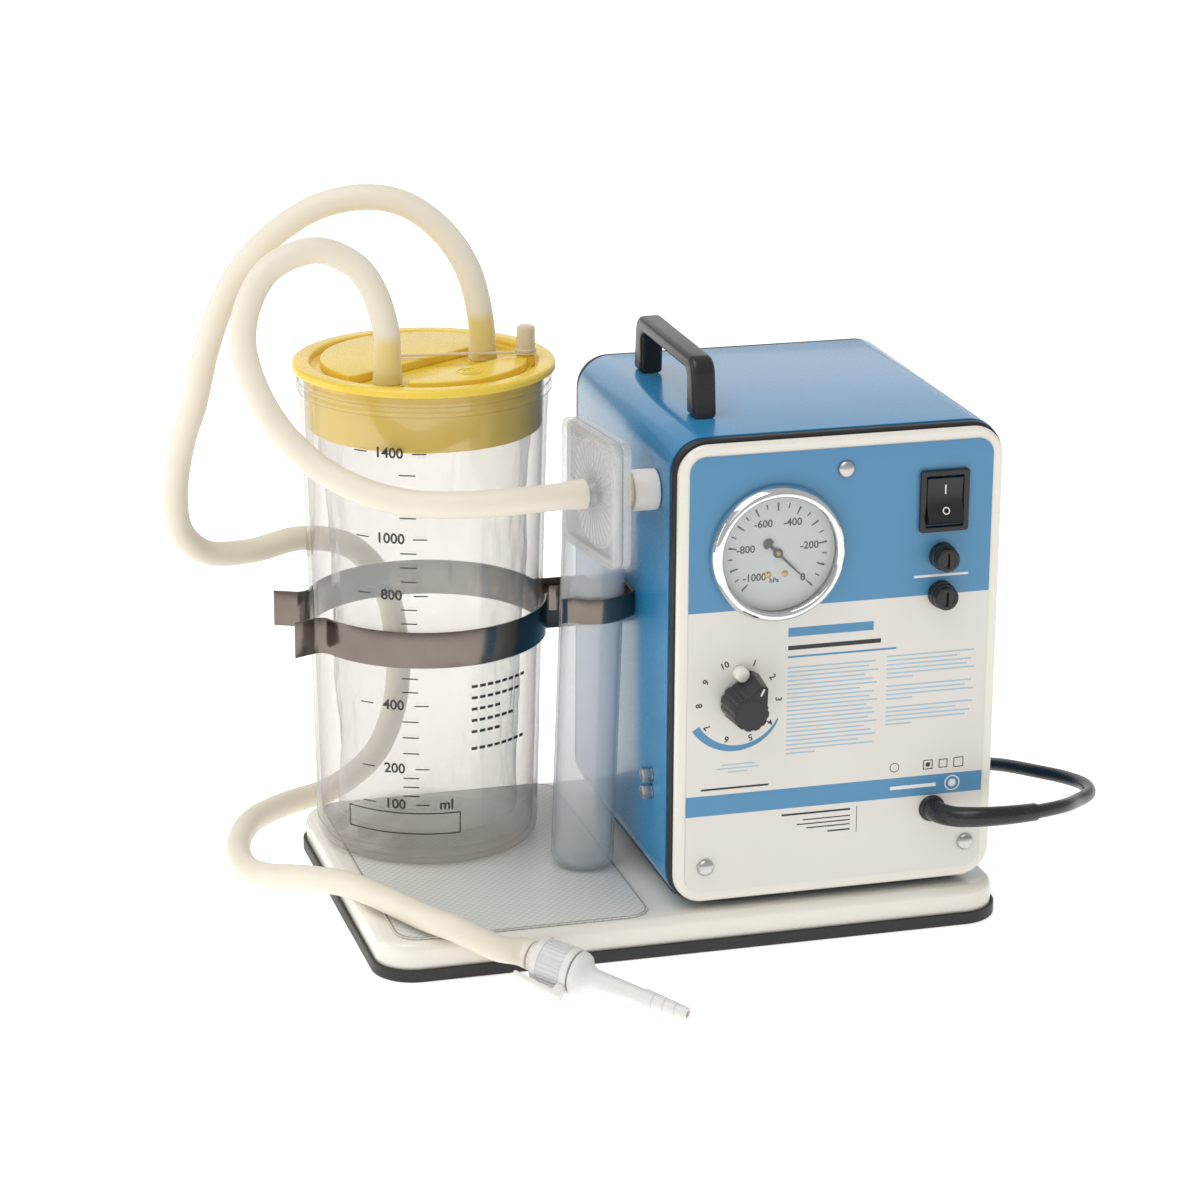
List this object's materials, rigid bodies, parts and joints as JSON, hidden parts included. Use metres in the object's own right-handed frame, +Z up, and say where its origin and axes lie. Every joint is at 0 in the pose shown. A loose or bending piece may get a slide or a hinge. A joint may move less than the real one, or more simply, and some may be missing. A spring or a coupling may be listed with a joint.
{
  "type": "bedside suction pump",
  "caption": "Mains suction pump: a painted case with vacuum gauge, regulator and switch beside a lidded collection jar, with filter, hoses and hand valve on a shared base.",
  "frame": {"origin": "centre of the base's footprint, on the surface it stands on", "axes": "+X to the right as seen from the front, +Y to the back, +Z up; the front panel faces -Y"},
  "size_m": [0.4468, 0.4017, 0.3543],
  "materials": {
    "black_plastic": "moulded, satin",
    "cream_paint": "smooth gloss",
    "blue_paint": "smooth gloss",
    "stainless_steel": "polished",
    "chrome": "polished",
    "brass": "turned",
    "aluminium": "machined",
    "white_plastic": "moulded",
    "printed_label": "screen-printed film",
    "mat_film": "fine diamond texture",
    "dark_grey": "matt enamel",
    "clear_glass": "clear",
    "clear_plastic": "clear moulded polycarbonate",
    "liner_film": "crumpled film",
    "yellow_plastic": "moulded",
    "silicone": "translucent"
  },
  "bodies": {
    "machine": {"base_edging": "black_plastic", "base_tray": "cream_paint", "base_bottom_plate": "stainless_steel", "base_mat": "mat_film", "case_pad": "black_plastic", "case_shell": "blue_paint", "front_gasket": "black_plastic", "rear_gasket": "black_plastic", "front_panel": "cream_paint", "rear_panel": "cream_paint", "front_label": "printed_label", "tie_bolt_top": "stainless_steel", "tie_bolt_left": "stainless_steel", "tie_bolt_right": "stainless_steel", "carry_handle": "black_plastic", "case_bolt_upper": "stainless_steel", "case_bolt_lower": "stainless_steel", "gauge_case": "stainless_steel", "gauge_bezel": "chrome", "gauge_lens": "clear_glass", "gauge_dial": "white_plastic", "gauge_stem": "brass", "switch_housing": "black_plastic", "fuse_holder_upper": "black_plastic", "fuse_holder_lower": "black_plastic", "regulator_body": "brass", "knob_stop": "white_plastic", "suction_port": "brass", "port_nut": "white_plastic", "filter_connector": "silicone", "filter_shell_outer": "clear_plastic", "filter_shell_inner": "clear_plastic", "filter_membrane": "white_plastic", "jar_clip": "stainless_steel", "tube_clip": "stainless_steel", "pump_motor": "stainless_steel", "pump_housing": "aluminium", "pump_bracket": "stainless_steel", "cable_boot": "black_plastic", "mains_cable": "black_plastic", "mains_cable_coil": "black_plastic", "mains_plug": "black_plastic"},
    "pointer": {"gauge_pointer": "dark_grey"},
    "rocker": {"switch_rocker": "black_plastic"},
    "upper_fuse_cap": {"fuse_cap_upper": "black_plastic"},
    "lower_fuse_cap": {"fuse_cap_lower": "black_plastic"},
    "regulator": {"regulator_knob": "black_plastic", "regulator_knob_cap": "black_plastic", "regulator_spindle": "brass"},
    "rotor": {"pump_shaft": "stainless_steel"},
    "collection_jar": {"jar": "clear_plastic"},
    "lid": {"jar_lid": "yellow_plastic", "liner_bag": "liner_film", "cap_strap": "white_plastic", "vacuum_hose": "silicone", "patient_hose": "silicone", "valve_body": "white_plastic"},
    "port_cap": {"vent_cap": "white_plastic"},
    "valve": {"valve_sleeve": "white_plastic"},
    "holder": {"holder_tube": "clear_plastic"}
  },
  "joints": [
    {"name": "gauge_pointer_turn", "type": "hinge", "parent": "machine", "child": "pointer", "pos_m": [0.0378, -0.098, 0.2003], "axis": [0, -1, 0], "range_deg": [0, 270]},
    {"name": "switch_press", "type": "hinge", "parent": "machine", "child": "rocker", "pos_m": [0.1219, -0.0929, 0.2202], "axis": [1, 0, 0], "range_deg": [0, 20]},
    {"name": "upper_fuse_cap_turn", "type": "hinge", "parent": "machine", "child": "upper_fuse_cap", "pos_m": [0.122, -0.1, 0.1922], "axis": [0, -1, 0], "range_deg": [0, 60]},
    {"name": "lower_fuse_cap_turn", "type": "hinge", "parent": "machine", "child": "lower_fuse_cap", "pos_m": [0.122, -0.1, 0.1728], "axis": [0, -1, 0], "range_deg": [0, 60]},
    {"name": "regulator_turn", "type": "hinge", "parent": "machine", "child": "regulator", "pos_m": [0.0201, -0.105, 0.1265], "axis": [0, -1, 0], "range_deg": [-308, 0]},
    {"name": "pump_turn", "type": "hinge", "parent": "machine", "child": "rotor", "pos_m": [0.07, 0, 0.09], "axis": [0, 1, 0], "continuous": true},
    {"name": "jar_lift", "type": "slide", "parent": "machine", "child": "collection_jar", "axis": [0, 0, 1], "range_m": [0, 0.17]},
    {"name": "lid_lift", "type": "slide", "parent": "collection_jar", "child": "lid", "axis": [0, 0, 1], "range_m": [0, 0.25]},
    {"name": "vent_cap_pull", "type": "slide", "parent": "lid", "child": "port_cap", "axis": [0, 0, 1], "range_m": [0, 0.02]},
    {"name": "valve_turn", "type": "hinge", "parent": "lid", "child": "valve", "pos_m": [-0.0889, -0.1185, 0.0152], "axis": [-0.6968, 0.705, 0.1316], "range_deg": [0, 90]},
    {"name": "holder_lift", "type": "slide", "parent": "machine", "child": "holder", "axis": [0.0314, 0, 0.9995], "range_m": [0, 0.2]}
  ]
}
